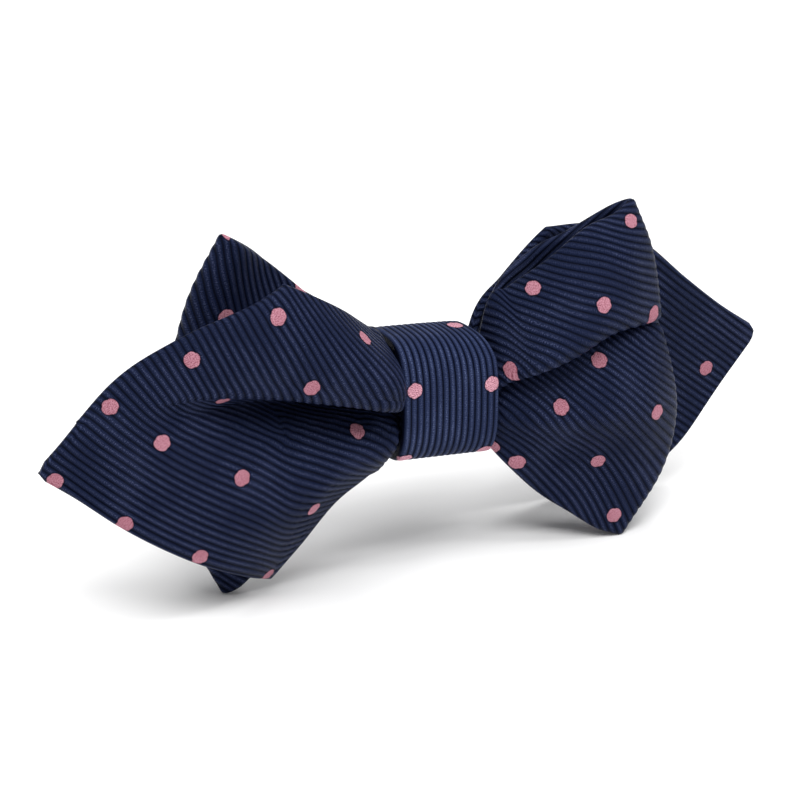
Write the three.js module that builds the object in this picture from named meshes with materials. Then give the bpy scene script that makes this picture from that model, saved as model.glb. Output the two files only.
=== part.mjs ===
// A pre-tied diamond point bow tie, standing on the lower corners of its bows.
// Millimetres. X runs from the left point to the right one, Y from front to back, Z up.
import * as THREE from "three";

// Driving sizes of the cloth
const halfHeight = 29; // half of the height of a bow, from its floor corner to its top corner
const frontPointReach = 65.2; // centre of the knot to the tip of the pointed end in front
const backPointReach = 62.6; // centre of the knot to the tip of the pointed end behind
const rightLoopReach = 40.8; // centre of the knot to the fold of the loop in front
const leftLoopReach = 43.6; // centre of the knot to the fold of the loop behind
const gatherDepth = 13.6; // how far the gathered cloth stands out of its layer
const clothThickness = 1.6; // doubled and interlined cloth
const layerGap = 0.4; // between two layers of cloth inside the knot
const tuckedGap = 0.3; // between the two ends tucked into the knot, on each side of its middle
const foldSpan = 2.6; // length of cloth that goes round a loop's fold
const rimRound = 0.45; // how far a sewn edge swells, as a share of the cloth's thickness

// Driving sizes of the knot
const knotHalfWidth = 8.4;
const knotInnerHalfHeight = 8.4;
const knotPinch = 4.2; // how far the gathers stand out of their layer inside the knot
const backPinchShare = 0.36; // the strip behind is gathered less
const bandWall = 1.8;
const bandClearance = 0.3;
const knotDrop = 1.8; // the knot's middle lies this far below the loops' middle
const knotSlope = 0.09; // the band falls towards the right
const bandTaper = 0.17; // the band's right half narrows by this share towards its top and back
const bandLeftTaper = 0.03; // and its left half by this one
const bandSquareness = 3; // 2 is an ellipse, more is squarer

// Driving sizes of the collar clip
const clipBarThickness = 1.2;
const clipCollarGap = 2.8; // room for a shirt collar's edge
const clipWebWidth = 6;
const clipFrontHalfLength = 9;
const clipRearHalfLength = 13;
const clipHeight = 7;
const clipClearance = 0.3;

// Each layer of cloth inside the knot has its own depth: 1 in front, 0 in the middle, -1 behind.
const layerStep = clothThickness + layerGap;
const knotEdge = knotHalfWidth + 0.4;
const tuckedEnd = clothThickness * rimRound + tuckedGap / 2;
const gatherRun = 5; // length of cloth beside the knot where the gathers open fastest
const loopRun = 30; // length of cloth from the knot to a fold, used only to space the sections

// The places across the strip where a section's control points lie, from its top edge to its bottom edge
const acrossPlaces = [0, 0.19, 0.36, 0.41, 0.5, 0.59, 0.74, 0.87, 1];

// A section has heights as shares of half the height, and depths as shares of the gatherDepth.
// lip is the edge of the upper lobe over the pleat, and pleat is how far below it the lower lobe starts.
const sectionColumns = [
  "layer", "out", "top", "topDepth", "crestDepth", "lip", "lipDepth", "floorDepth",
  "pleat", "bellyDepth", "tuckDepth", "bottom", "bottomDepth",
];

// out is a share of the front point's reach
const frontPointSections = [
  [1, 0.158, 0.33, 0.1, 0.66, 0.03, 0.6, 0.01, 0.13, 0.52, 0.36, -0.38, 0.12],
  [1, 0.2, 0.4, 0.22, 0.86, 0.07, 0.82, 0.03, 0.17, 0.63, 0.43, -0.41, 0.2],
  [1, 0.29, 0.56, 0.44, 0.88, 0.13, 0.81, 0.06, 0.19, 0.66, 0.41, -0.53, 0.2],
  [1, 0.385, 0.7, 0.55, 0.86, 0.19, 0.79, 0.1, 0.22, 0.69, 0.43, -0.76, 0.15],
  [1, 0.505, 0.84, 0.48, 0.79, 0.255, 0.72, 0.2, 0.235, 0.68, 0.44, -1.03, 0.04],
  [1, 0.66, 0.95, 0.15, 0.5, 0.29, 0.57, 0.42, 0.22, 0.6, 0.4, -1.17, -0.06],
  [1, 0.83, 1.03, -0.11, 0.22, 0.24, 0.37, 0.4, 0.21, 0.4, 0.22, -1.24, -0.15],
  [1, 1.04, 1.03, -0.29, -0.09, 0.1, 0.01, 0.04, 0.21, 0.03, -0.07, -1.24, -0.29],
];

// out is a share of the back point's reach
const backPointSections = [
  [-1, 0.18, 0.26, -0.1, -0.14, 0.04, -0.14, -0.05, 0.1, -0.16, -0.17, -0.42, -0.16],
  [-1, 0.255, 0.42, -0.12, -0.16, 0.07, -0.16, -0.07, 0.1, -0.18, -0.19, -0.52, -0.18],
  [-1, 0.4, 0.67, -0.15, -0.16, 0.14, -0.15, -0.12, 0.12, -0.15, -0.25, -0.83, -0.29],
  [-1, 0.56, 0.78, -0.1, -0.09, 0.14, -0.09, -0.1, 0.14, -0.12, -0.22, -1.03, -0.44],
  [-1, 0.735, 0.86, -0.06, -0.03, 0.07, -0.01, -0.03, 0.14, -0.03, -0.07, -1.14, -0.37],
  [-1, 0.895, 0.9, -0.03, 0, 0.03, 0, 0, 0.14, 0, 0, -1.17, -0.15],
  [-1, 1.086, 0.9, 0, 0, 0, 0, 0, 0.14, 0, 0, -1.17, 0],
];

// A pointed end is cut along these lines: out as a share of its reach, heights as shares of half the height.
const cutColumns = ["out", "top", "bottom"];
const frontPointCut = [
  [0.44, 0.765, -0.92],
  [0.56, 0.685, -0.765],
  [0.7, 0.56, -0.585],
  [0.85, 0.35, -0.35],
  [0.94, 0.125, -0.18],
  [1, -0.04, -0.08],
];
const backPointCut = [
  [0.385, 0.65, -0.9],
  [0.535, 0.62, -1],
  [0.67, 0.47, -0.94],
  [0.79, 0.235, -0.72],
  [0.915, 0.01, -0.39],
  [1, -0.12, -0.18],
];

// out is the share of the way from the knot to the fold; the first rows run out, the rest run back
const rightLoopSections = [
  [1, 0.05, 0.37, 0.04, 0.32, 0.01, 0.42, 0, 0.09, 0.38, 0.28, -0.4, 0.12],
  [1, 0.15, 0.455, 0.15, 0.52, 0.085, 0.68, 0.03, 0.11, 0.56, 0.38, -0.505, 0.26],
  [1, 0.38, 0.62, 0.37, 0.69, 0.155, 0.76, 0.18, 0.12, 0.75, 0.44, -0.69, 0.31],
  [1, 0.62, 0.77, 0.44, 0.7, 0.24, 0.74, 0.32, 0.13, 0.81, 0.51, -0.83, 0.44],
  [1, 0.86, 0.82, 0.4, 0.59, 0.25, 0.65, 0.44, 0.13, 0.74, 0.59, -0.96, 0.54],
  [0.5, 1, 0.86, 0.37, 0.47, 0.24, 0.59, 0.49, 0.14, 0.63, 0.62, -1, 0.64],
  [0, 0.93, 0.82, 0.28, 0.29, 0.23, 0.38, 0.38, 0.14, 0.49, 0.51, -0.98, 0.6],
  [0, 0.7, 0.67, 0.01, 0.04, 0.17, 0.07, 0.07, 0.14, 0.15, 0.19, -0.79, 0.25],
  [0, 0.4, 0.58, 0, 0, 0.1, 0, 0, 0.1, 0.02, 0.04, -0.59, 0.04],
  [0, 0.15, 0.4, 0, 0, 0.06, 0, 0, 0.08, 0, 0, -0.41, 0],
];
const leftLoopSections = [
  [-1, 0.2, 0.38, -0.12, -0.2, 0.06, -0.21, -0.16, 0.1, -0.21, -0.2, -0.48, -0.15],
  [-1, 0.5, 0.59, -0.16, -0.28, 0.12, -0.3, -0.28, 0.12, -0.3, -0.24, -0.71, -0.12],
  [-1, 0.8, 0.84, -0.06, -0.25, 0.16, -0.29, -0.29, 0.12, -0.28, -0.18, -0.92, -0.04],
  [-0.5, 1, 0.96, 0.03, -0.12, 0.17, -0.16, -0.16, 0.14, -0.15, -0.07, -1, 0.03],
  [0, 0.93, 0.92, 0, -0.03, 0.17, -0.03, -0.03, 0.14, -0.03, 0, -0.97, 0.03],
  [0, 0.7, 0.76, -0.18, -0.07, 0.15, -0.03, -0.03, 0.13, -0.01, 0, -0.81, 0.01],
  [0, 0.45, 0.56, -0.2, -0.1, 0.11, 0, 0, 0.12, 0, 0, -0.63, 0],
  [0, 0.18, 0.33, -0.08, -0.04, 0.06, 0, 0, 0.08, 0, 0, -0.43, 0],
];

// How far out a fold lies at each control point, as a share of the loop's reach
const rightFold = [0.815, 0.88, 0.9, 0.905, 0.91, 0.925, 0.98, 0.93, 0.75];
const leftFold = [0.775, 0.88, 0.96, 0.965, 0.97, 0.97, 0.95, 0.89, 0.8];

// Inside the knot, heights are shares of its inner half height, and depths are shares of the pinch.
const frontKnotLeft = [1, 0, 0.82, 0.1, 0.88, 0.2, 0.9, 0, 0.35, 0.88, 0.68, -0.85, 0.2];
const frontKnotRight = [1, 0, 0.8, 0, 0.82, 0.12, 0.88, 0, 0.25, 0.88, 0.68, -0.85, 0.2];
const backKnot = [-1, 0, 0.6, -0.1, -0.34, 0.1, -0.34, 0, 0.25, -0.32, -0.2, -0.74, 0];
const innerEnd = [0, 0, 0.76, 0, 0, 0.1, 0, 0, 0.25, 0, 0, -0.84, 0];

// Curves and tables

function readTable(columns, rows) {
  return rows.map((row) => Object.fromEntries(columns.map((name, i) => [name, row[i]])));
}

// A smooth curve through values at given places, with slopes taken from the neighbours
function smoothThrough(places, values, at) {
  const last = places.length - 1;
  const x = Math.min(Math.max(at, places[0]), places[last]);
  let i = 0;
  while (i < last - 1 && x >= places[i + 1]) {
    i += 1;
  }
  const step = (j) => places[j + 1] - places[j];
  const rise = (j, k) => (values[j + 1][k] - values[j][k]) / step(j);
  const slope = (j, k) => {
    if (j === 0) {
      return rise(0, k);
    }
    if (j === last) {
      return rise(last - 1, k);
    }
    const share = step(j - 1) / (step(j - 1) + step(j));
    return rise(j - 1, k) * (1 - share) + rise(j, k) * share;
  };
  const t = (x - places[i]) / step(i);
  const fromStart = 2 * t ** 3 - 3 * t ** 2 + 1;
  const startSlope = t ** 3 - 2 * t ** 2 + t;
  const endSlope = t ** 3 - t ** 2;
  return values[i].map((value, k) => (
    fromStart * value
    + (1 - fromStart) * values[i + 1][k]
    + step(i) * (startSlope * slope(i, k) + endSlope * slope(i + 1, k))
  ));
}

function span(start, end, count) {
  return Array.from({ length: count }, (_, i) => start + ((end - start) * i) / (count - 1));
}

// Sections of the cloth, each a row of control points from the top edge to the bottom edge

function heightsOf(row) {
  const shoulder = row.lip - row.pleat;
  return [
    row.top,
    row.lip + (row.top - row.lip) * 0.55,
    row.lip,
    row.lip - row.pleat * 0.08,
    row.lip - row.pleat * 0.5,
    shoulder,
    shoulder + (row.bottom - shoulder) * 0.38,
    shoulder + (row.bottom - shoulder) * 0.7,
    row.bottom,
  ];
}

function depthsOf(row) {
  return [
    row.topDepth,
    row.crestDepth,
    row.lipDepth,
    row.lipDepth + (row.floorDepth - row.lipDepth) * 0.35,
    row.floorDepth,
    row.floorDepth + (row.bellyDepth - row.floorDepth) * 0.5,
    row.bellyDepth,
    row.tuckDepth,
    row.bottomDepth,
  ];
}

function wingControls(row, side, outs) {
  const heights = heightsOf(row);
  const depths = depthsOf(row);
  return heights.map((height, i) => [
    side * outs[i],
    -(row.layer * layerStep + depths[i] * gatherDepth),
    height * halfHeight,
  ]);
}

function knotMiddle(x) {
  return -knotDrop - knotSlope * x;
}

function knotControls(row, x) {
  const heights = heightsOf(row);
  const depths = depthsOf(row);
  return heights.map((height, i) => [
    x,
    -(row.layer * layerStep + depths[i] * knotPinch),
    knotMiddle(x) + height * knotInnerHalfHeight,
  ]);
}

// A whole strip: its pointed end, its way through the knot, its loop, and the end tucked into the knot.
// side is 1 where the loop lies on the right and -1 where it lies on the left.
function stripStations(side, point, pointReach, knotRows, loop, loopReach, fold) {
  const stations = [];
  for (const row of readTable(sectionColumns, point).reverse()) {
    const out = row.out * pointReach;
    stations.push({ at: -out, controls: wingControls(row, -side, new Array(9).fill(out)) });
  }
  const [pointSide, loopSide] = knotRows.map((row) => readTable(sectionColumns, [row])[0]);
  const half = knotHalfWidth / 2;
  stations.push({ at: -knotEdge, controls: knotControls(pointSide, -side * knotEdge) });
  stations.push({ at: -half, controls: knotControls(pointSide, -side * half) });
  stations.push({ at: half, controls: knotControls(loopSide, side * half) });
  stations.push({ at: knotEdge, controls: knotControls(loopSide, side * knotEdge) });
  const foldAt = knotEdge + loopRun;
  let returning = false;
  for (const row of readTable(sectionColumns, loop)) {
    const outs = fold.map((share) => knotEdge + (share * loopReach - knotEdge) * row.out);
    const at = returning ? foldAt + foldSpan + loopRun * (1 - row.out) : knotEdge + loopRun * row.out;
    stations.push({ at, controls: wingControls(row, side, outs) });
    returning = returning || row.out === 1;
  }
  const back = readTable(sectionColumns, [innerEnd])[0];
  const backAt = foldAt + foldSpan + loopRun;
  stations.push({ at: backAt, controls: knotControls(back, side * knotEdge) });
  stations.push({ at: backAt + half, controls: knotControls(back, side * (knotEdge - half)) });
  stations.push({ at: backAt + knotEdge - tuckedEnd, controls: knotControls(back, side * tuckedEnd) });
  return stations;
}

function sectionAt(stations, at) {
  const places = stations.map((station) => station.at);
  const flat = stations.map((station) => station.controls.flat());
  const values = smoothThrough(places, flat, at);
  return acrossPlaces.map((_, i) => values.slice(3 * i, 3 * i + 3));
}

// The place across a section where its height crosses a level, looked for from one edge
function crossing(section, level, fromTop) {
  const count = 240;
  let before = fromTop ? 0 : 1;
  let heightBefore = smoothThrough(acrossPlaces, section, before)[2];
  const beyond = (height) => (fromTop ? height > level : height < level);
  if (!beyond(heightBefore)) {
    return before;
  }
  for (let i = 1; i <= count; i += 1) {
    const here = fromTop ? i / count : 1 - i / count;
    const height = smoothThrough(acrossPlaces, section, here)[2];
    if (!beyond(height)) {
      return before + ((here - before) * (level - heightBefore)) / (height - heightBefore);
    }
    before = here;
    heightBefore = height;
  }
  return before;
}

// The middle surface of a strip, as rows of points from the tip to the tucked end
function stripSurface(stations, cut, pointReach, sampleAts, acrossShares) {
  const cutRows = readTable(cutColumns, cut);
  const cutPlaces = cutRows.map((row) => row.out * pointReach);
  const cutHeights = cutRows.map((row) => [row.top * halfHeight, row.bottom * halfHeight]);
  return sampleAts.map((at) => {
    const section = sectionAt(stations, at);
    let first = 0;
    let last = 1;
    if (-at >= cutPlaces[0]) {
      const [topHeight, bottomHeight] = smoothThrough(cutPlaces, cutHeights, -at);
      first = crossing(section, topHeight, true);
      last = crossing(section, bottomHeight, false);
    }
    return acrossShares.map((share) => {
      const point = smoothThrough(acrossPlaces, section, first + (last - first) * share);
      return new THREE.Vector3(...point);
    });
  });
}

// Closed bodies

function closedBody(points, triangles) {
  let volume = 0;
  for (const [a, b, c] of triangles) {
    volume += points[a].dot(new THREE.Vector3().crossVectors(points[b], points[c]));
  }
  const facingOut = volume > 0 ? triangles : triangles.map(([a, b, c]) => [a, c, b]);
  const geometry = new THREE.BufferGeometry();
  geometry.setAttribute("position", new THREE.Float32BufferAttribute(points.flatMap((p) => p.toArray()), 3));
  geometry.setIndex(facingOut.flat());
  geometry.computeVertexNormals();
  return geometry;
}

function surfaceNormals(rows) {
  return rows.map((row, i) => row.map((_, j) => {
    const along = new THREE.Vector3().subVectors(
      rows[Math.min(i + 1, rows.length - 1)][j],
      rows[Math.max(i - 1, 0)][j],
    );
    const across = new THREE.Vector3().subVectors(
      row[Math.min(j + 1, row.length - 1)],
      row[Math.max(j - 1, 0)],
    );
    return new THREE.Vector3().crossVectors(along, across).normalize();
  }));
}

// A sheet thickened to both sides, with a swelling rim of one row of points
function thickened(rows, thickness) {
  const normals = surfaceNormals(rows);
  const rowCount = rows.length;
  const columnCount = rows[0].length;
  const points = [];
  for (const side of [1, -1]) {
    rows.forEach((row, i) => row.forEach((point, j) => {
      points.push(point.clone().addScaledVector(normals[i][j], (side * thickness) / 2));
    }));
  }
  const faceSize = rowCount * columnCount;
  const index = (i, j) => i * columnCount + j;
  const triangles = [];
  for (let i = 0; i < rowCount - 1; i += 1) {
    for (let j = 0; j < columnCount - 1; j += 1) {
      const [a, b, c, d] = [index(i, j), index(i + 1, j), index(i + 1, j + 1), index(i, j + 1)];
      triangles.push([a, b, c], [a, c, d]);
      triangles.push([faceSize + a, faceSize + c, faceSize + b], [faceSize + a, faceSize + d, faceSize + c]);
    }
  }
  const ring = [];
  for (let j = 0; j < columnCount - 1; j += 1) {
    ring.push([0, j]);
  }
  for (let i = 0; i < rowCount - 1; i += 1) {
    ring.push([i, columnCount - 1]);
  }
  for (let j = columnCount - 1; j > 0; j -= 1) {
    ring.push([rowCount - 1, j]);
  }
  for (let i = rowCount - 1; i > 0; i -= 1) {
    ring.push([i, 0]);
  }
  const rimStart = points.length;
  for (const [i, j] of ring) {
    const inner = rows[Math.min(Math.max(i, 1), rowCount - 2)][Math.min(Math.max(j, 1), columnCount - 2)];
    const outward = new THREE.Vector3().subVectors(rows[i][j], inner).normalize();
    points.push(rows[i][j].clone().addScaledVector(outward, thickness * rimRound));
  }
  ring.forEach(([i, j], k) => {
    const next = (k + 1) % ring.length;
    const [p, q] = [index(i, j), index(...ring[next])];
    const [r, s] = [rimStart + k, rimStart + next];
    triangles.push([p, q, s], [p, s, r]);
    triangles.push([r, s, faceSize + q], [r, faceSize + q, faceSize + p]);
  });
  return closedBody(points, triangles);
}

// The places sampled along a strip, closer together where it bends
function samplesAlong(cut, pointReach) {
  const corner = cut[0][0] * pointReach;
  const foldAt = knotEdge + loopRun;
  return [
    ...span(-pointReach, -corner, 12),
    ...span(-corner, -knotEdge - gatherRun, 7).slice(1),
    ...span(-knotEdge - gatherRun, -knotEdge, 5).slice(1),
    ...span(-knotEdge, knotEdge, 5).slice(1),
    ...span(knotEdge, knotEdge + gatherRun, 5).slice(1),
    ...span(knotEdge + gatherRun, foldAt - foldSpan, 8).slice(1),
    ...span(foldAt - foldSpan, foldAt + foldSpan * 1.6, 6).slice(1),
    ...span(foldAt + foldSpan * 1.6, foldAt + foldSpan + loopRun, 9).slice(1),
    foldAt + foldSpan + loopRun + knotEdge - tuckedEnd,
  ];
}

const acrossSamples = [
  0, 0.09, 0.18, 0.26, 0.32, 0.36, 0.385, 0.41, 0.455, 0.5, 0.545, 0.59, 0.65, 0.72, 0.79, 0.86, 0.93, 1,
];

function makeStrip(side, point, pointReach, cut, knotRows, loop, loopReach, fold) {
  const stations = stripStations(side, point, pointReach, knotRows, loop, loopReach, fold);
  const samples = samplesAlong(cut, pointReach);
  return thickened(stripSurface(stations, cut, pointReach, samples, acrossSamples), clothThickness);
}

// The knot's opening, worked out from the layers that pass through it
const openingFront = layerStep + knotPinch + clothThickness / 2 + bandClearance;
const openingBack = layerStep + knotPinch * backPinchShare + clothThickness / 2 + bandClearance;
const openingHalfDepth = (openingFront + openingBack) / 2;
const openingMiddle = (openingBack - openingFront) / 2;
const bandBack = openingBack + bandWall;
const bandTaperTurn = 0.6; // turns the narrowest place from the top towards the back, in radians

function bandPoint(x, angle, outward) {
  const round = (value) => Math.sign(value) * Math.abs(value) ** (2 / bandSquareness);
  const halfDepth = openingHalfDepth + outward;
  const halfRise = knotInnerHalfHeight + outward;
  const taper = x > 0 ? bandTaper : bandLeftTaper;
  return new THREE.Vector3(
    x * (1 - taper * Math.max(0, Math.sin(angle + bandTaperTurn))),
    openingMiddle + halfDepth * round(Math.cos(angle)),
    knotMiddle(x) + halfRise * round(Math.sin(angle)),
  );
}

function makeBand() {
  const turn = 56;
  const edgeRound = bandWall * 0.42;
  const profile = [];
  const corner = (x, outward, startAngle) => {
    for (const angle of span(startAngle, startAngle + Math.PI / 2, 3)) {
      profile.push([x + edgeRound * Math.cos(angle), outward + edgeRound * Math.sin(angle)]);
    }
  };
  const endX = knotHalfWidth - edgeRound;
  corner(endX, bandWall - edgeRound, 0);
  profile.push([0, bandWall]);
  corner(-endX, bandWall - edgeRound, Math.PI / 2);
  corner(-endX, edgeRound, Math.PI);
  profile.push([0, 0]);
  corner(endX, edgeRound, 1.5 * Math.PI);
  const points = [];
  for (let i = 0; i < turn; i += 1) {
    for (const [x, outward] of profile) {
      points.push(bandPoint(x, (2 * Math.PI * i) / turn, outward));
    }
  }
  const size = profile.length;
  const triangles = [];
  for (let i = 0; i < turn; i += 1) {
    for (let j = 0; j < size; j += 1) {
      const [a, b] = [i * size + j, i * size + ((j + 1) % size)];
      const [c, d] = [((i + 1) % turn) * size + j, ((i + 1) % turn) * size + ((j + 1) % size)];
      triangles.push([a, c, d], [a, d, b]);
    }
  }
  return closedBody(points, triangles);
}

// A plain clip shaped like an H seen from above: a short bar at the knot, a web and a long bar behind
function makeClip() {
  const front = bandBack + clipClearance;
  const seat = front + clipBarThickness;
  const rear = seat + clipCollarGap;
  const end = rear + clipBarThickness;
  const web = clipWebWidth / 2;
  const outline = new THREE.Shape([
    new THREE.Vector2(-clipFrontHalfLength, front),
    new THREE.Vector2(clipFrontHalfLength, front),
    new THREE.Vector2(clipFrontHalfLength, seat),
    new THREE.Vector2(web, seat),
    new THREE.Vector2(web, rear),
    new THREE.Vector2(clipRearHalfLength, rear),
    new THREE.Vector2(clipRearHalfLength, end),
    new THREE.Vector2(-clipRearHalfLength, end),
    new THREE.Vector2(-clipRearHalfLength, rear),
    new THREE.Vector2(-web, rear),
    new THREE.Vector2(-web, seat),
    new THREE.Vector2(-clipFrontHalfLength, seat),
  ]);
  const geometry = new THREE.ExtrudeGeometry(outline, { depth: clipHeight, bevelEnabled: false });
  geometry.translate(0, 0, -knotDrop - clipHeight / 2);
  return geometry;
}

// Materials

const navyCloth = new THREE.MeshStandardMaterial({ color: 0x1b2546, roughness: 0.7, metalness: 0 });
const navyKnot = new THREE.MeshStandardMaterial({ color: 0x1f2a4e, roughness: 0.7, metalness: 0 });
const darkPlastic = new THREE.MeshStandardMaterial({ color: 0x15161a, roughness: 0.45, metalness: 0 });

// The assembly

const frontBow = new THREE.Mesh(
  makeStrip(
    1, frontPointSections, frontPointReach, frontPointCut,
    [frontKnotLeft, frontKnotRight], rightLoopSections, rightLoopReach, rightFold,
  ),
  navyCloth,
);
frontBow.name = "front_bow";

const backBow = new THREE.Mesh(
  makeStrip(
    -1, backPointSections, backPointReach, backPointCut,
    [backKnot, backKnot], leftLoopSections, leftLoopReach, leftFold,
  ),
  navyCloth,
);
backBow.name = "back_bow";

const knotBand = new THREE.Mesh(makeBand(), navyKnot);
knotBand.name = "knot_band";

const collarClip = new THREE.Mesh(makeClip(), darkPlastic);
collarClip.name = "collar_clip";

// The whole stands on Z = 0 with the middle of its box over the origin.
const bowTie = new THREE.Group();
bowTie.add(frontBow, backBow, knotBand, collarClip);
const box = new THREE.Box3().setFromObject(bowTie);
bowTie.position.set(-(box.min.x + box.max.x) / 2, -(box.min.y + box.max.y) / 2, -box.min.z);
bowTie.updateMatrixWorld(true);

export default bowTie;
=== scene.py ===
import math

import bpy
import mathutils
import numpy as np
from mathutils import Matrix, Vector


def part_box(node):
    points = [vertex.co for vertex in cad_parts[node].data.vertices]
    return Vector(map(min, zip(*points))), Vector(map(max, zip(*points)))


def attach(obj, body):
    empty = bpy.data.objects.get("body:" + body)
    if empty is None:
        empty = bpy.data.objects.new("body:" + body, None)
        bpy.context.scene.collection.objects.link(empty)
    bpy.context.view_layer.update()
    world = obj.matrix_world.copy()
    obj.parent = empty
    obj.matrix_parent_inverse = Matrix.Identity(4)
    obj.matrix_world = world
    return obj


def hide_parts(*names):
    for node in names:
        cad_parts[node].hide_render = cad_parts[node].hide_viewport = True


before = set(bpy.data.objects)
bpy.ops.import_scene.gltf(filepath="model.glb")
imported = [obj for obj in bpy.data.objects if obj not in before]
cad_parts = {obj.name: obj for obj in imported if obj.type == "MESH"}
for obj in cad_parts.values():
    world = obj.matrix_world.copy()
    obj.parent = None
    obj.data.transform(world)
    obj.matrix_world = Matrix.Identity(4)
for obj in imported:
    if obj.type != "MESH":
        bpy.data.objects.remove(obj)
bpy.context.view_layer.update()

MILLIMETRES = 1000  # in a metre

# Sizes of the cloth, as in the part
HALF_HEIGHT = 29.0
FRONT_POINT_REACH = 65.2
BACK_POINT_REACH = 62.6
RIGHT_LOOP_REACH = 40.8
LEFT_LOOP_REACH = 43.6
GATHER_DEPTH = 13.6
CLOTH_THICKNESS = 1.6
LAYER_GAP = 0.4
TUCKED_GAP = 0.3
FOLD_SPAN = 2.6
RIM_ROUND = 0.45
LOOP_RUN = 30.0

# Sizes of the knot and the clip, as in the part
KNOT_HALF_WIDTH = 8.4
KNOT_INNER_HALF_HEIGHT = 8.4
KNOT_PINCH = 4.2
BACK_PINCH_SHARE = 0.36
BAND_WALL = 1.8
BAND_CLEARANCE = 0.3
KNOT_DROP = 1.8
KNOT_SLOPE = 0.09
BAND_TAPER = 0.17
BAND_LEFT_TAPER = 0.03
BAND_TAPER_TURN = 0.6
BAND_SQUARENESS = 3.0
CLIP_CLEARANCE = 0.3

LAYER_STEP = CLOTH_THICKNESS + LAYER_GAP
KNOT_EDGE = KNOT_HALF_WIDTH + 0.4
TUCKED_END = CLOTH_THICKNESS * RIM_ROUND + TUCKED_GAP / 2
OPENING_FRONT = LAYER_STEP + KNOT_PINCH + CLOTH_THICKNESS / 2 + BAND_CLEARANCE
OPENING_BACK = LAYER_STEP + KNOT_PINCH * BACK_PINCH_SHARE + CLOTH_THICKNESS / 2 + BAND_CLEARANCE

# Where the points between a section's named ones lie, as shares of the way
CREST_PLACE = 0.55
UNDERCUT_PLACE = 0.08
FLOOR_PLACE = 0.5
BELLY_PLACE = 0.38
TUCK_PLACE = 0.7
UNDERCUT_DEPTH = 0.35
SHOULDER_DEPTH = 0.5

# The weave, in millimetres of flat cloth
RIB_PITCH = 1.12
RIB_HEIGHT = 0.16
RIB_SHARPNESS = 0.8  # under 1, crests are broad and grooves are narrow
RIB_LEVEL = 0.6  # the height in a rib's wave that lies on the cloth's smooth face
THREAD_PITCH = 0.3
DOT_RADIUS = 1.22
DOT_RISE = 0.07  # a dot's height over the cloth's smooth face
DOT_SLOPE = 0.3  # the width of a dot's raised edge
DOT_FIT_REACH = 1.2  # radii of cloth round a dot's middle that place it in space
DOT_SPACING = 13.5  # between the dots of a row, where the photo shows none
DOT_ROW_SHARE = 0.93  # from one row to the next, as a share of that
DOT_CLEAR_SHARE = 0.6  # how close such a dot may come to one that shows, as a share of that

# The pleat: shares across the strip from its top edge, and lengths in millimetres
LIP_SHARE = 0.36
UPPER_LOBE_END = 0.385
LOWER_LOBE_START = 0.6
PLEAT_SHARE = 0.49
PLEAT_HALF_SHARE = 0.1
PLEAT_STIFFNESS = 0.05  # the pleat's cloth gives way when the rest is laid flat
PLEAT_START = 0.7  # where a pointed end's pleat begins, as a share of its reach
FRONT_PLEAT_WEDGE = 0.62  # cloth hidden in the pleat, for each millimetre along it
OTHER_PLEAT_WEDGE = 0.001

# How a pointed end's ridges are softened. Within the first length of an edge, the knot or the pleat
# they are kept, and over the second one the softening comes in.
RIDGE_PASSES = 90
EDGE_KEPT, EDGE_EASING = 1, 4
KNOT_KEPT, KNOT_EASING = 3, 6
PLEAT_KEPT_SHARE, PLEAT_EASING_SHARE = 0.13, 0.06
EASING_RUN = 6  # past the pleat's end the creases ease out over this length

# The cloth's meshes
MESH_STEP = 0.34  # between neighbouring points of the fine mesh, in millimetres
COARSE_STRIDE = 5  # fine steps in one step of the coarse mesh that is laid flat
DENSE_ROWS = 900  # places looked up along the cloth to space its rows evenly
DENSE_COLUMNS = 261
CUT_COLUMNS = 241
FLATTEN_ROUNDS = 120
KINK_PASSES = 10
RIM_TURNS = 6
RELIEF_FADE = 1.2  # the relief fades out over this length at the cloth's edges
WING_START = 0.2  # from the knot's centre to the start of each wing's cloth
LITTLE = 1e-9
LEAST_RISE = 1e-6
LEAST_STEP = 0.05
LEAST_PLEAT_WIDTH = 0.5
FAR = 1e9

# The knot's mesh
BAND_TURNS = 420
BAND_RIBS = 15
BAND_EDGE_SHARE = 0.42  # the radius of the band's edges, as a share of its wall
BAND_OUTER_SHARE = 0.8  # skin past this share of its wall is its outer face
BAND_CORNER_POINTS = 7
BAND_RIB_POINTS = 8
BAND_SAMPLES = 1200

# The photo's camera: it looks at the knot, which lies at this place in a picture 800 pixels wide
CAMERA_AZIMUTH = -28.0
CAMERA_ELEVATION = 22.0
CAMERA_DISTANCE = 450.0
PICTURE_WIDTH = 800.0
FOCAL_PIXELS = 2880.0
KNOT_PIXEL_X = 425.0
KNOT_PIXEL_Y = 376.0
SENSOR_WIDTH = 36.0
PICTURE_CELL = 4.0  # pixels in a cell of the coarse picture of what is nearest
PICTURE_CELLS = int(PICTURE_WIDTH / PICTURE_CELL)
PIXEL_REACH = 2.5  # cloth within this many pixels of a place may be what the photo shows there
PIXEL_SLACK = 0.5
FIT_STEPS = 5  # fine steps on each side that place a pixel on the cloth
IN_VIEW_DEPTH = 1.5  # cloth this far behind the nearest still counts as seen

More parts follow.
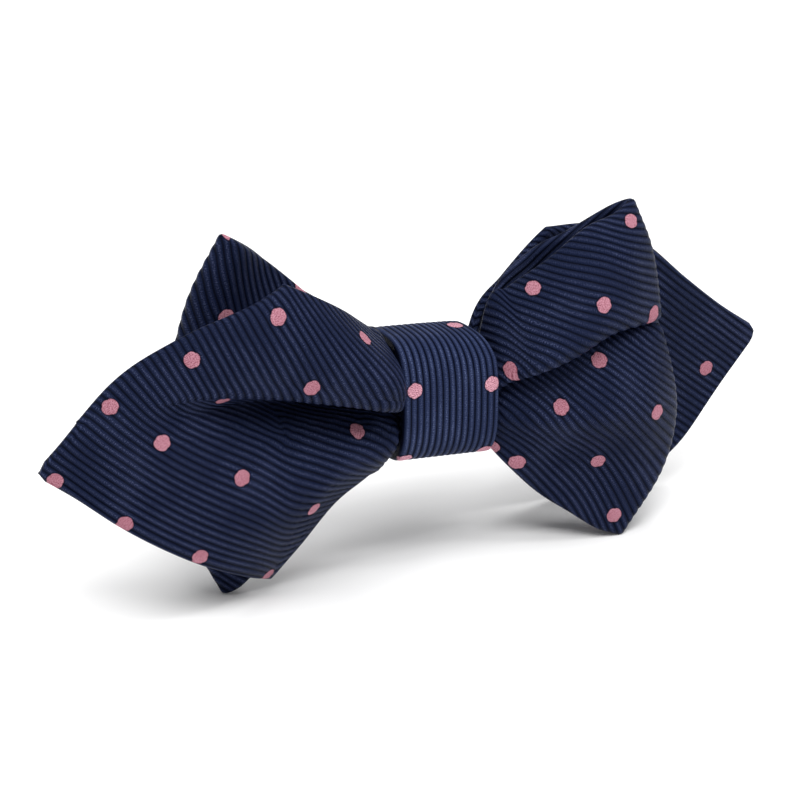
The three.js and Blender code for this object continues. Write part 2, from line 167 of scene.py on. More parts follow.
# Where the photo shows the middles of dots, in its own pixels, for each piece of cloth
PHOTO_DOTS = {
    "front_point_cloth": [
        (278, 317), (192, 360), (312, 388), (357, 431), (110, 407), (162, 443), (242, 478),
        (55, 481), (125, 524), (200, 557), (268, 575), (314, 509), (365, 338), (223, 402),
    ],
    "front_loop_cloth": [
        (492, 446), (517, 462), (533, 288), (511, 370), (604, 305), (653, 315),
        (631, 221), (599, 360), (561, 407), (657, 412), (598, 461), (614, 515),
    ],
    "back_point_cloth": [(706, 368), (551, 246)],
    "back_loop_cloth": [(226, 317), (302, 289), (231, 233)],
    "knot_cloth_band": [(415, 391), (492, 384), (455, 325), (378, 338), (405, 459), (484, 450)],
}

# The sections of the cloth, as in the part: heights are shares of half the height, depths are
# shares of the gathers' depth, and each row runs from the strip's top edge to its bottom edge.
ACROSS_PLACES = np.array([0, 0.19, 0.36, 0.41, 0.5, 0.59, 0.74, 0.87, 1])

SECTION_COLUMNS = (
    "layer", "out", "top", "top_depth", "crest_depth", "lip", "lip_depth", "floor_depth",
    "pleat", "belly_depth", "tuck_depth", "bottom", "bottom_depth",
)

FRONT_POINT_SECTIONS = [
    [1, 0.158, 0.33, 0.1, 0.66, 0.03, 0.6, 0.01, 0.13, 0.52, 0.36, -0.38, 0.12],
    [1, 0.2, 0.4, 0.22, 0.86, 0.07, 0.82, 0.03, 0.17, 0.63, 0.43, -0.41, 0.2],
    [1, 0.29, 0.56, 0.44, 0.88, 0.13, 0.81, 0.06, 0.19, 0.66, 0.41, -0.53, 0.2],
    [1, 0.385, 0.7, 0.55, 0.86, 0.19, 0.79, 0.1, 0.22, 0.69, 0.43, -0.76, 0.15],
    [1, 0.505, 0.84, 0.48, 0.79, 0.255, 0.72, 0.2, 0.235, 0.68, 0.44, -1.03, 0.04],
    [1, 0.66, 0.95, 0.15, 0.5, 0.29, 0.57, 0.42, 0.22, 0.6, 0.4, -1.17, -0.06],
    [1, 0.83, 1.03, -0.11, 0.22, 0.24, 0.37, 0.4, 0.21, 0.4, 0.22, -1.24, -0.15],
    [1, 1.04, 1.03, -0.29, -0.09, 0.1, 0.01, 0.04, 0.21, 0.03, -0.07, -1.24, -0.29],
]

BACK_POINT_SECTIONS = [
    [-1, 0.18, 0.26, -0.1, -0.14, 0.04, -0.14, -0.05, 0.1, -0.16, -0.17, -0.42, -0.16],
    [-1, 0.255, 0.42, -0.12, -0.16, 0.07, -0.16, -0.07, 0.1, -0.18, -0.19, -0.52, -0.18],
    [-1, 0.4, 0.67, -0.15, -0.16, 0.14, -0.15, -0.12, 0.12, -0.15, -0.25, -0.83, -0.29],
    [-1, 0.56, 0.78, -0.1, -0.09, 0.14, -0.09, -0.1, 0.14, -0.12, -0.22, -1.03, -0.44],
    [-1, 0.735, 0.86, -0.06, -0.03, 0.07, -0.01, -0.03, 0.14, -0.03, -0.07, -1.14, -0.37],
    [-1, 0.895, 0.9, -0.03, 0, 0.03, 0, 0, 0.14, 0, 0, -1.17, -0.15],
    [-1, 1.086, 0.9, 0, 0, 0, 0, 0, 0.14, 0, 0, -1.17, 0],
]

# A pointed end is cut along these lines: out, top height, bottom height
FRONT_POINT_CUT = [
    [0.44, 0.765, -0.92],
    [0.56, 0.685, -0.765],
    [0.7, 0.56, -0.585],
    [0.85, 0.35, -0.35],
    [0.94, 0.125, -0.18],
    [1, -0.04, -0.08],
]

BACK_POINT_CUT = [
    [0.385, 0.65, -0.9],
    [0.535, 0.62, -1],
    [0.67, 0.47, -0.94],
    [0.79, 0.235, -0.72],
    [0.915, 0.01, -0.39],
    [1, -0.12, -0.18],
]

RIGHT_LOOP_SECTIONS = [
    [1, 0.05, 0.37, 0.04, 0.32, 0.01, 0.42, 0, 0.09, 0.38, 0.28, -0.4, 0.12],
    [1, 0.15, 0.455, 0.15, 0.52, 0.085, 0.68, 0.03, 0.11, 0.56, 0.38, -0.505, 0.26],
    [1, 0.38, 0.62, 0.37, 0.69, 0.155, 0.76, 0.18, 0.12, 0.75, 0.44, -0.69, 0.31],
    [1, 0.62, 0.77, 0.44, 0.7, 0.24, 0.74, 0.32, 0.13, 0.81, 0.51, -0.83, 0.44],
    [1, 0.86, 0.82, 0.4, 0.59, 0.25, 0.65, 0.44, 0.13, 0.74, 0.59, -0.96, 0.54],
    [0.5, 1, 0.86, 0.37, 0.47, 0.24, 0.59, 0.49, 0.14, 0.63, 0.62, -1, 0.64],
    [0, 0.93, 0.82, 0.28, 0.29, 0.23, 0.38, 0.38, 0.14, 0.49, 0.51, -0.98, 0.6],
    [0, 0.7, 0.67, 0.01, 0.04, 0.17, 0.07, 0.07, 0.14, 0.15, 0.19, -0.79, 0.25],
    [0, 0.4, 0.58, 0, 0, 0.1, 0, 0, 0.1, 0.02, 0.04, -0.59, 0.04],
    [0, 0.15, 0.4, 0, 0, 0.06, 0, 0, 0.08, 0, 0, -0.41, 0],
]

LEFT_LOOP_SECTIONS = [
    [-1, 0.2, 0.38, -0.12, -0.2, 0.06, -0.21, -0.16, 0.1, -0.21, -0.2, -0.48, -0.15],
    [-1, 0.5, 0.59, -0.16, -0.28, 0.12, -0.3, -0.28, 0.12, -0.3, -0.24, -0.71, -0.12],
    [-1, 0.8, 0.84, -0.06, -0.25, 0.16, -0.29, -0.29, 0.12, -0.28, -0.18, -0.92, -0.04],
    [-0.5, 1, 0.96, 0.03, -0.12, 0.17, -0.16, -0.16, 0.14, -0.15, -0.07, -1, 0.03],
    [0, 0.93, 0.92, 0, -0.03, 0.17, -0.03, -0.03, 0.14, -0.03, 0, -0.97, 0.03],
    [0, 0.7, 0.76, -0.18, -0.07, 0.15, -0.03, -0.03, 0.13, -0.01, 0, -0.81, 0.01],
    [0, 0.45, 0.56, -0.2, -0.1, 0.11, 0, 0, 0.12, 0, 0, -0.63, 0],
    [0, 0.18, 0.33, -0.08, -0.04, 0.06, 0, 0, 0.08, 0, 0, -0.43, 0],
]

RIGHT_FOLD = np.array([0.815, 0.88, 0.9, 0.905, 0.91, 0.925, 0.98, 0.93, 0.75])
LEFT_FOLD = np.array([0.775, 0.88, 0.96, 0.965, 0.97, 0.97, 0.95, 0.89, 0.8])

FRONT_KNOT_LEFT = [1, 0, 0.82, 0.1, 0.88, 0.2, 0.9, 0, 0.35, 0.88, 0.68, -0.85, 0.2]
FRONT_KNOT_RIGHT = [1, 0, 0.8, 0, 0.82, 0.12, 0.88, 0, 0.25, 0.88, 0.68, -0.85, 0.2]
BACK_KNOT = [-1, 0, 0.6, -0.1, -0.34, 0.1, -0.34, 0, 0.25, -0.32, -0.2, -0.74, 0]
INNER_END = [0, 0, 0.76, 0, 0, 0.1, 0, 0, 0.25, 0, 0, -0.84, 0]

# Colours
# painted highlight: a lighter navy laid on the rib crests where light would catch them
NAVY_CREST_HIGHLIGHT = (0.05, 0.062, 0.13, 1)
NAVY_BODY = (0.0085, 0.013, 0.038, 1)
# painted shade: near-black navy in the grooves between the ribs; the same colour darkens the lines
# between the crossing threads and a ring round each dot
NAVY_GROOVE_SHADE = (0.002, 0.003, 0.01, 1)
# painted light: the knot's navy is a lighter copy of the cloth's, as the knot is better lit; its crest
# colour is a painted highlight
KNOT_LIT_CREST_HIGHLIGHT = (0.085, 0.11, 0.22, 1)
KNOT_LIT_BODY = (0.018, 0.027, 0.072, 1)
PINK = (0.5, 0.235, 0.295, 1)
# painted light: a lighter copy of the dots' pink for the knot, as the knot is better lit
KNOT_LIT_PINK = (0.7, 0.36, 0.44, 1)
PINK_DEEP = (0.22, 0.06, 0.085, 1)
SHEEN_BLUE = (0.55, 0.68, 1.0, 1)
PLASTIC_DARK = (0.014, 0.015, 0.018, 1)
PLASTIC_WORN = (0.03, 0.031, 0.036, 1)
FLOOR_PALE = (0.93, 0.93, 0.93, 1)
FLOOR_PALEST = (0.95, 0.95, 0.95, 1)


# Smooth curves

def smooth_rows(places, rows, at):
    """One smooth curve for each row of values, looked up at that row's own places."""
    steps = np.diff(places)
    rises = np.diff(rows, axis=1) / steps[:, None]
    share = (steps[:-1] / (steps[:-1] + steps[1:]))[:, None]
    slopes = np.empty_like(rows)
    slopes[:, 0] = rises[:, 0]
    slopes[:, -1] = rises[:, -1]
    slopes[:, 1:-1] = rises[:, :-1] * (1 - share) + rises[:, 1:] * share
    at = np.clip(at, places[0], places[-1])
    i = np.clip(np.searchsorted(places, at, side="right") - 1, 0, len(places) - 2)
    row = np.arange(len(rows))[:, None]
    step = steps[i][..., None]
    t = ((at - places[i]) / steps[i])[..., None]
    from_start = 2 * t**3 - 3 * t**2 + 1
    return (
        from_start * rows[row, i]
        + (1 - from_start) * rows[row, i + 1]
        + step * (t**3 - 2 * t**2 + t) * slopes[row, i]
        + step * (t**3 - t**2) * slopes[row, i + 1]
    )


def smooth_through(places, values, at):
    """A smooth curve through values at given places."""
    values = np.asarray(values, float)
    flat = values.reshape(1, len(values), -1)
    found = smooth_rows(np.asarray(places, float), flat, np.asarray(at, float)[None])[0]
    return found.reshape((len(found),) + values.shape[1:])


# Sections of the cloth

def read_row(row):
    """A section's values by the names of its columns."""
    return dict(zip(SECTION_COLUMNS, row))


def section_shape(row):
    """Heights and depths of a section's control points, as shares."""
    shoulder = row["lip"] - row["pleat"]
    below = row["bottom"] - shoulder
    heights = [
        row["top"],
        row["lip"] + (row["top"] - row["lip"]) * CREST_PLACE,
        row["lip"],
        row["lip"] - row["pleat"] * UNDERCUT_PLACE,
        row["lip"] - row["pleat"] * FLOOR_PLACE,
        shoulder,
        shoulder + below * BELLY_PLACE,
        shoulder + below * TUCK_PLACE,
        row["bottom"],
    ]
    depths = [
        row["top_depth"],
        row["crest_depth"],
        row["lip_depth"],
        row["lip_depth"] + (row["floor_depth"] - row["lip_depth"]) * UNDERCUT_DEPTH,
        row["floor_depth"],
        row["floor_depth"] + (row["belly_depth"] - row["floor_depth"]) * SHOULDER_DEPTH,
        row["belly_depth"],
        row["tuck_depth"],
        row["bottom_depth"],
    ]
    return np.array(heights, float), np.array(depths, float)


def wing_controls(row, side, outs):
    """A section's control points outside the knot, at these distances to one side."""
    heights, depths = section_shape(row)
    y = -(row["layer"] * LAYER_STEP + depths * GATHER_DEPTH)
    return np.stack([side * outs, y, heights * HALF_HEIGHT], axis=1)


def knot_middle(x):
    """The height of the knot's middle line, which slopes down to the right."""
    return -KNOT_DROP - KNOT_SLOPE * x


def knot_controls(row, x):
    """A section's control points inside the knot."""
    heights, depths = section_shape(row)
    y = -(row["layer"] * LAYER_STEP + depths * KNOT_PINCH)
    z = knot_middle(x) + heights * KNOT_INNER_HALF_HEIGHT
    return np.stack([np.full(len(y), float(x)), y, z], axis=1)


def strip_stations(side, point, point_reach, knot_rows, loop, loop_reach, fold):
    """Places along a strip, and the control points there.
    It runs from its pointed end through the knot and round its loop to the end that is tucked in."""
    places = []
    controls = []

    def station(at, points):
        places.append(at)
        controls.append(points)

    for values in reversed(point):
        row = read_row(values)
        out = row["out"] * point_reach
        station(-out, wing_controls(row, -side, np.full(len(ACROSS_PLACES), out)))
    point_row = read_row(knot_rows[0])
    loop_row = read_row(knot_rows[1])
    half = KNOT_HALF_WIDTH / 2
    station(-KNOT_EDGE, knot_controls(point_row, -side * KNOT_EDGE))
    station(-half, knot_controls(point_row, -side * half))
    station(half, knot_controls(loop_row, side * half))
    station(KNOT_EDGE, knot_controls(loop_row, side * KNOT_EDGE))
    fold_at = KNOT_EDGE + LOOP_RUN
    returning = False
    for values in loop:
        row = read_row(values)
        outs = KNOT_EDGE + (fold * loop_reach - KNOT_EDGE) * row["out"]
        if returning:
            at = fold_at + FOLD_SPAN + LOOP_RUN * (1 - row["out"])
        else:
            at = KNOT_EDGE + LOOP_RUN * row["out"]
        station(at, wing_controls(row, side, outs))
        returning = returning or row["out"] == 1
    end_row = read_row(INNER_END)
    back_at = fold_at + FOLD_SPAN + LOOP_RUN
    station(back_at, knot_controls(end_row, side * KNOT_EDGE))
    station(back_at + half, knot_controls(end_row, side * (KNOT_EDGE - half)))
    station(back_at + KNOT_EDGE - TUCKED_END, knot_controls(end_row, side * TUCKED_END))
    return np.array(places), np.array(controls)


def crossing(heights, shares, level, from_top):
    """The share across each section where its height passes a level, looked for from one edge."""
    if not from_top:
        heights = -heights[:, ::-1]
        shares = shares[::-1]
        level = -level
    inside = heights <= level[:, None]
    first = np.argmax(inside, axis=1)
    before = np.maximum(first - 1, 0)
    row = np.arange(len(heights))
    rise = heights[row, first] - heights[row, before]
    part = np.where(first > 0, (level - heights[row, before]) / np.where(rise == 0, 1, rise), 0)
    return shares[before] + (shares[first] - shares[before]) * part


def strip_rows(stations, at, cut, point_reach):
    """Control sections at places along a strip, and the shares across where cloth starts and ends."""
    sections = smooth_through(*stations, at)
    first = np.zeros(len(at))
    last = np.ones(len(at))
    rows = np.array(cut)
    cut_places = rows[:, 0] * point_reach
    trimmed = -at >= cut_places[0]
    if trimmed.any():
        shares = np.linspace(0, 1, CUT_COLUMNS)
        looked = np.broadcast_to(shares, (trimmed.sum(), len(shares)))
        heights = smooth_rows(ACROSS_PLACES, sections[trimmed], looked)[..., 2]
        levels = smooth_through(cut_places, rows[:, 1:] * HALF_HEIGHT, -at[trimmed])
        first[trimmed] = crossing(heights, shares, levels[:, 0], from_top=True)
        last[trimmed] = crossing(heights, shares, levels[:, 1], from_top=False)
    return sections, first, last


def even_places(lengths, count):
    """Places, counted in samples, that part a line of these step lengths evenly."""
    walked = np.concatenate([[0], np.cumsum(lengths)])
    return np.interp(np.linspace(0, walked[-1], count), walked, np.arange(len(walked)))


def even_count(length):
    """How many points lie along a length of cloth, so that each stride of the coarse mesh is whole."""
    return 1 + COARSE_STRIDE * int(length / MESH_STEP / COARSE_STRIDE)


def cloth_grid(stations, cut, point_reach, start, end):
    """The middle of a stretch of cloth as an even grid of points: rows along it, columns across it."""
    dense_at = np.linspace(start, end, DENSE_ROWS)
    dense_shares = np.linspace(0, 1, DENSE_COLUMNS)
    sections, first, last = strip_rows(stations, dense_at, cut, point_reach)
    shares = first[:, None] + (last - first)[:, None] * dense_shares
    points = smooth_rows(ACROSS_PLACES, sections, shares)
    steps = np.linalg.norm(np.diff(points, axis=0), axis=2)
    along = (steps.mean(axis=1) + steps.max(axis=1)) / 2
    row_count = even_count(along.sum())
    at = np.interp(even_places(along, row_count), np.arange(len(dense_at)), dense_at)
    sections, first, last = strip_rows(stations, at, cut, point_reach)
    shares = first[:, None] + (last - first)[:, None] * dense_shares
    points = smooth_rows(ACROSS_PLACES, sections, shares)
    widths = np.linalg.norm(np.diff(points, axis=1), axis=2)
    column_count = even_count(np.percentile(widths.sum(axis=1), 90))
    columns = np.arange(len(dense_shares))
    fine = np.empty((row_count, column_count))
    for i in range(row_count):
        fine[i] = np.interp(even_places(widths[i], column_count), columns, shares[i])
    return smooth_rows(ACROSS_PLACES, sections, fine), fine, at


def grid_corners(row_count, column_count):
    """The numbers of a grid's points, and those at the four corners of each of its cells."""
    index = np.arange(row_count * column_count).reshape(row_count, column_count)
    corners = [index[:-1, :-1], index[1:, :-1], index[1:, 1:], index[:-1, 1:]]
    return index, [corner.ravel() for corner in corners]


# Flat pattern of the cloth

def flatten_cloth(points, shares, hidden):
    """Where each point of a grid lies on the flat cloth, in millimetres, with the least stretching.

    hidden is the width of cloth that each row keeps in its pleat beyond what the grid shows. Each
    round turns every triangle of the grid the way that suits it, and then fits them together."""
    row_count, column_count = points.shape[:2]
    index, (a, b, c, d) = grid_corners(row_count, column_count)
    triangles = np.concatenate([np.stack([a, b, c], 1), np.stack([a, c, d], 1)])
    in_pleat = np.abs((shares[:, 1:] + shares[:, :-1]) / 2 - PLEAT_SHARE) < PLEAT_HALF_SHARE
    across = np.diff(points, axis=1)
    width = np.linalg.norm(across, axis=2)
    pleat_width = np.maximum((width * in_pleat).sum(axis=1), LEAST_PLEAT_WIDTH)
    across = across * (1 + in_pleat * (hidden / pleat_width)[:, None])[..., None]
    along = np.diff(points, axis=0)
    start, end = across[:-1].reshape(-1, 3), across[1:].reshape(-1, 3)
    top, bottom = along[:, :-1].reshape(-1, 3), along[:, 1:].reshape(-1, 3)
    edge = np.concatenate([top, start + bottom])
    other = np.concatenate([top + end, start])
    base = np.linalg.norm(edge, axis=1) + LITTLE
    foot = (other * edge).sum(1) / base
    rise = np.linalg.norm(other - edge * (foot / base)[:, None], axis=1) + LEAST_RISE
    zero = np.zeros(len(base))
    slope = np.stack([np.stack([-rise, rise, zero], 1), np.stack([foot - base, -foot, base], 1)], 1)
    slope /= (base * rise)[:, None, None]
    slack = np.tile((in_pleat[:-1] | in_pleat[1:]).ravel(), 2)
    weight = base * rise / 2 * np.where(slack, PLEAT_STIFFNESS, 1)
    stiffness = np.zeros((row_count * column_count,) * 2)
    for i in range(3):
        for j in range(3):
            amount = weight * (slope[:, :, i] * slope[:, :, j]).sum(1)
            np.add.at(stiffness, (triangles[:, i], triangles[:, j]), amount)
    stiffness[0, 0] += 1  # holds the first point
    inverse = np.linalg.inv(stiffness)
    flat = np.zeros((row_count, column_count, 2))
    flat[1:, :, 0] = np.cumsum(np.linalg.norm(along, axis=2).mean(axis=1))[:, None]
    flat[:, 1:, 1] = np.cumsum(np.linalg.norm(across, axis=2), axis=1)
    flat[..., 1] -= flat[:, column_count // 2, 1][:, None]
    flat = flat.reshape(-1, 2)
    for _ in range(FLATTEN_ROUNDS):
        fitted = np.einsum("tdi,tik->tkd", slope, flat[triangles])
        cosine = fitted[:, 0, 0] + fitted[:, 1, 1]
        sine = fitted[:, 1, 0] - fitted[:, 0, 1]
        length = np.maximum(np.hypot(cosine, sine), LITTLE)
        cosine, sine = cosine / length, sine / length
        rotation = np.stack([np.stack([cosine, -sine], 1), np.stack([sine, cosine], 1)], 1)
        pull = np.einsum("t,tdi,tkd->tik", weight, slope, rotation)
        target = np.zeros_like(flat)
        np.add.at(target, triangles, pull)
        flat = inverse @ target
    return flat.reshape(row_count, column_count, 2)


def one_lobe(first, second):
    """Where two neighbours lie on the same lobe of cloth; 0 is past the pleat, where they join."""
    return (first == second) | (first == 0) | (second == 0)


def evened(values, shares, passes):
    """Values on a grid with small kinks taken out of each lobe, above, in and below the pleat.
    Past the pleat's end the shares are 0, and the lobes run into one."""
    values = values.copy()
    lobe = np.where(shares > 0, 1 + (shares > UPPER_LOBE_END) + (shares > LOWER_LOBE_START), 0)
    for _ in range(passes):
        for axis in (0, 1):
            moved = np.moveaxis(values, axis, 0)
            kind = np.moveaxis(lobe, axis, 0)
            same = one_lobe(kind[1:-1], kind[:-2]) & one_lobe(kind[1:-1], kind[2:])
            bend = moved[:-2] + moved[2:] - 2 * moved[1:-1]
            moved[1:-1] += same[..., None] * bend / 4
    return values


def eased_ridges(points, shares, past_pleat):
    """A pointed end with its ridges softened, away from its edges, its pleat and the knot."""
    row, column = np.indices(shares.shape)
    row_count, column_count = shares.shape
    edge = np.minimum(row, np.minimum(column, column_count - 1 - column)) * MESH_STEP
    knot = (row_count - 1 - row) * MESH_STEP
    beside = (np.abs(shares - PLEAT_SHARE) - PLEAT_KEPT_SHARE) / PLEAT_EASING_SHARE
    clear = [
        (edge - EDGE_KEPT) / EDGE_EASING,
        (knot - KNOT_EDGE - KNOT_KEPT) / KNOT_EASING,
        np.maximum(beside, past_pleat[:, None] / EASING_RUN),
    ]
    share = np.clip(np.minimum.reduce(clear), 0, 1)
    share = share**2 * (3 - 2 * share)
    lobes = np.where(past_pleat[:, None] < 0, shares, 0)
    return points + (evened(points, lobes, RIDGE_PASSES) - points) * share[..., None]


def pattern_of(points, shares, hidden):
    """The flat pattern of a fine grid, worked out on a coarse one and drawn smoothly between."""
    row_count, column_count = shares.shape
    rows = np.arange(0, row_count, COARSE_STRIDE)
    columns = np.arange(0, column_count, COARSE_STRIDE)
    chosen = np.ix_(rows, columns)
    flat = flatten_cloth(points[chosen], shares[chosen], hidden[rows])
    coarse = evened(flat, shares[chosen], KINK_PASSES)
    looked = np.broadcast_to(np.arange(column_count, dtype=float), (len(rows), column_count))
    drawn = smooth_rows(columns.astype(float), coarse, looked)
    pattern = smooth_through(rows.astype(float), drawn, np.arange(row_count, dtype=float))
    middle = np.argmin(np.abs(shares[row_count // 2] - LIP_SHARE))
    pattern -= pattern[row_count // 2, middle]
    axis = pattern[-1, middle] - pattern[0, middle]
    axis /= np.linalg.norm(axis)
    along = pattern @ axis
    across = pattern @ np.array([-axis[1], axis[0]])
    return np.stack([along, across], axis=2)


# Meshes of the cloth

def knot_origin():
    """The knot frame's origin in the row frame, in millimetres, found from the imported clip."""
    low, high = np.array(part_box("collar_clip")) * MILLIMETRES
    middle = (low + high) / 2
    front = low[1] - (OPENING_BACK + BAND_WALL + CLIP_CLEARANCE)
    return np.array([middle[0], front, middle[2] + KNOT_DROP])


KNOT_PLACE = knot_origin()


def place(points):
    """Points of the knot's frame, in millimetres, as points of the row frame, in metres."""
    return (np.asarray(points) + KNOT_PLACE) / MILLIMETRES


def rib_wave(across):
    """The ribs' height, from 0 in a groove to 1 on a crest."""
    return np.abs(np.cos(math.pi * across / RIB_PITCH)) ** RIB_SHARPNESS


def towards(azimuth, elevation):
    """The direction from the knot to something seen at these angles, in degrees; 0, 0 is in front."""
    side, rise = math.radians(azimuth), math.radians(elevation)
    return np.array([math.sin(side) * math.cos(rise), -math.cos(side) * math.cos(rise), math.sin(rise)])


def camera_axes():
    """The camera's directions to its right, upwards and backwards."""
    side = math.radians(CAMERA_AZIMUTH)
    back = towards(CAMERA_AZIMUTH, CAMERA_ELEVATION)
    right = np.array([math.cos(side), math.sin(side), 0])
    return right, np.cross(back, right), back


def camera_place():
    """The camera's place in the knot's frame, in millimetres."""
    right, up, back = camera_axes()
    centre = PICTURE_WIDTH / 2
    across = (KNOT_PIXEL_X - centre) / FOCAL_PIXELS
    above = (centre - KNOT_PIXEL_Y) / FOCAL_PIXELS
    return CAMERA_DISTANCE * (back - right * across - up * above)


def seen_from_camera(points):
    """Picture places of points, in the photo's pixels, and their distance from the camera."""
    right, up, back = camera_axes()
    offset = points - camera_place()
    away = -(offset @ back)
    scale = FOCAL_PIXELS / away
    centre = PICTURE_WIDTH / 2
    picture = np.stack([centre + (offset @ right) * scale, centre - (offset @ up) * scale], axis=-1)
    return picture, away


def weave_seen_at(pixel, points, weave):
    """The flat place of the cloth that the camera sees at a pixel."""
    picture, away = seen_from_camera(points)
    offset = picture - np.array(pixel, float)
    apart = np.linalg.norm(offset, axis=-1)
    close = apart < max(PIXEL_REACH, apart.min() + PIXEL_SLACK)
    row, column = np.unravel_index(np.argmin(np.where(close, away, FAR)), away.shape)
    rows = slice(max(row - FIT_STEPS, 0), row + FIT_STEPS + 1)
    columns = slice(max(column - FIT_STEPS, 0), column + FIT_STEPS + 1)
    around = (rows, columns)
    known = np.column_stack([offset[around].reshape(-1, 2), np.ones(apart[around].size)])
    return np.linalg.lstsq(known, weave[around].reshape(-1, 2), rcond=None)[0][2]


def near_face(middle):
    """The face of a piece of cloth that is turned to the camera."""
    normals = grid_normals(middle)
    facing = ((camera_place() - middle) * normals).sum(axis=-1, keepdims=True)
    return middle + normals * np.sign(facing) * CLOTH_THICKNESS / 2


def picture_cells(points):
    """The cells of the coarse picture that points fall in, and their distance from the camera."""
    picture, away = seen_from_camera(points.reshape(-1, 3))
    column, row = np.clip((picture / PICTURE_CELL).astype(int), 0, PICTURE_CELLS - 1).T
    return (row, column), away


def depth_picture(surfaces):
    """A coarse picture of how near the camera the nearest cloth is, from every piece's points."""
    nearest = np.full((PICTURE_CELLS, PICTURE_CELLS), FAR)
    for points in surfaces:
        cells, away = picture_cells(points)
        np.minimum.at(nearest, cells, away)
    return nearest


def dot_middles(name, points, weave, nearest):
    """Flat places of a piece's dots.
    They lie where the photo shows them, and in regular rows where the camera sees no cloth."""
    flat = weave.reshape(-1, 2)
    shown = np.array([weave_seen_at(pixel, points, weave) for pixel in PHOTO_DOTS[name]])
    cells, away = picture_cells(points)
    in_view = away < nearest[cells] + IN_VIEW_DEPTH
    low, high = flat.min(axis=0), flat.max(axis=0)
    count = ((high - low) / DOT_SPACING).astype(int) + 3
    made = list(shown)
    for i in range(-count[0], count[0]):
        for j in range(-count[1], count[1]):
            middle = shown[0] + DOT_SPACING * np.array([i * DOT_ROW_SHARE, j + (i % 2) / 2])
            off = np.linalg.norm(flat - middle, axis=1)
            clear = np.linalg.norm(shown - middle, axis=1).min() > DOT_SPACING * DOT_CLEAR_SHARE
            if off.min() < DOT_RADIUS and clear and not in_view[off < 2 * DOT_RADIUS].any():
                made.append(middle)
    return np.array(made)


def dot_distance(points, weave, middles):
    """How far each place of the cloth lies from the middle of the nearest dot, in millimetres.
    Close to a dot it is measured in space, so that the dot keeps its real size in the gathers."""
    nearest = np.full(weave.shape[:-1], FAR)
    for middle in middles:
        off = np.linalg.norm(weave - middle, axis=-1)
        around = off < off.min() + DOT_FIT_REACH * DOT_RADIUS
        known = np.column_stack([weave[around] - middle, np.ones(around.sum())])
        centre = np.linalg.lstsq(known, points[around], rcond=None)[0][2]
        apart = np.where(off < 2 * DOT_RADIUS, np.linalg.norm(points - centre, axis=-1), off)
        nearest = np.minimum(nearest, apart)
    return nearest


def inside_dot(apart):
    """1 on a dot and 0 off it, with a short slope between."""
    return np.clip((DOT_RADIUS + DOT_SLOPE / 2 - apart) / DOT_SLOPE, 0, 1)


def relief(weave, apart):
    """How far the weave stands out of the cloth's smooth face, in millimetres."""
    inside = inside_dot(apart)
    ribs = (rib_wave(weave[..., 0]) - RIB_LEVEL) * RIB_HEIGHT
    return ribs * (1 - inside) + inside * DOT_RISE


def unit(vectors):
    return vectors / np.maximum(np.linalg.norm(vectors, axis=-1, keepdims=True), LITTLE)


def grid_normals(points):
    """The direction that the face of a grid has at each of its points."""
    return unit(np.cross(*np.gradient(points, axis=(0, 1))))


def rim_ring(row_count, column_count):
    """The border of a grid, once round, as rows and columns."""
    ring = [(0, j) for j in range(column_count - 1)]
    ring += [(i, column_count - 1) for i in range(row_count - 1)]
    ring += [(row_count - 1, j) for j in range(column_count - 1, 0, -1)]
    ring += [(i, 0) for i in range(row_count - 1, 0, -1)]
    return np.array(ring)


def make_mesh(name, points, quads, weave, material):
    """A smooth mesh object from points in the row frame, with the weave's places on its points."""
    mesh = bpy.data.meshes.new(name)
    mesh.vertices.add(len(points))
    mesh.vertices.foreach_set("co", np.ascontiguousarray(points, np.float32).ravel())
    mesh.loops.add(quads.size)
    mesh.loops.foreach_set("vertex_index", np.ascontiguousarray(quads, np.int32).ravel())
    mesh.polygons.add(len(quads))
    mesh.polygons.foreach_set("loop_start", np.arange(0, quads.size, 4, dtype=np.int32))
    mesh.polygons.foreach_set("use_smooth", np.ones(len(quads), bool))
    mesh.update(calc_edges=True)
    layer = mesh.attributes.new("weave", "FLOAT_VECTOR", "POINT")
    layer.data.foreach_set("vector", np.ascontiguousarray(weave, np.float32).ravel())
    mesh.validate()
    mesh.materials.append(material)
    made = bpy.data.objects.new(name, mesh)
    bpy.context.scene.collection.objects.link(made)
    return made


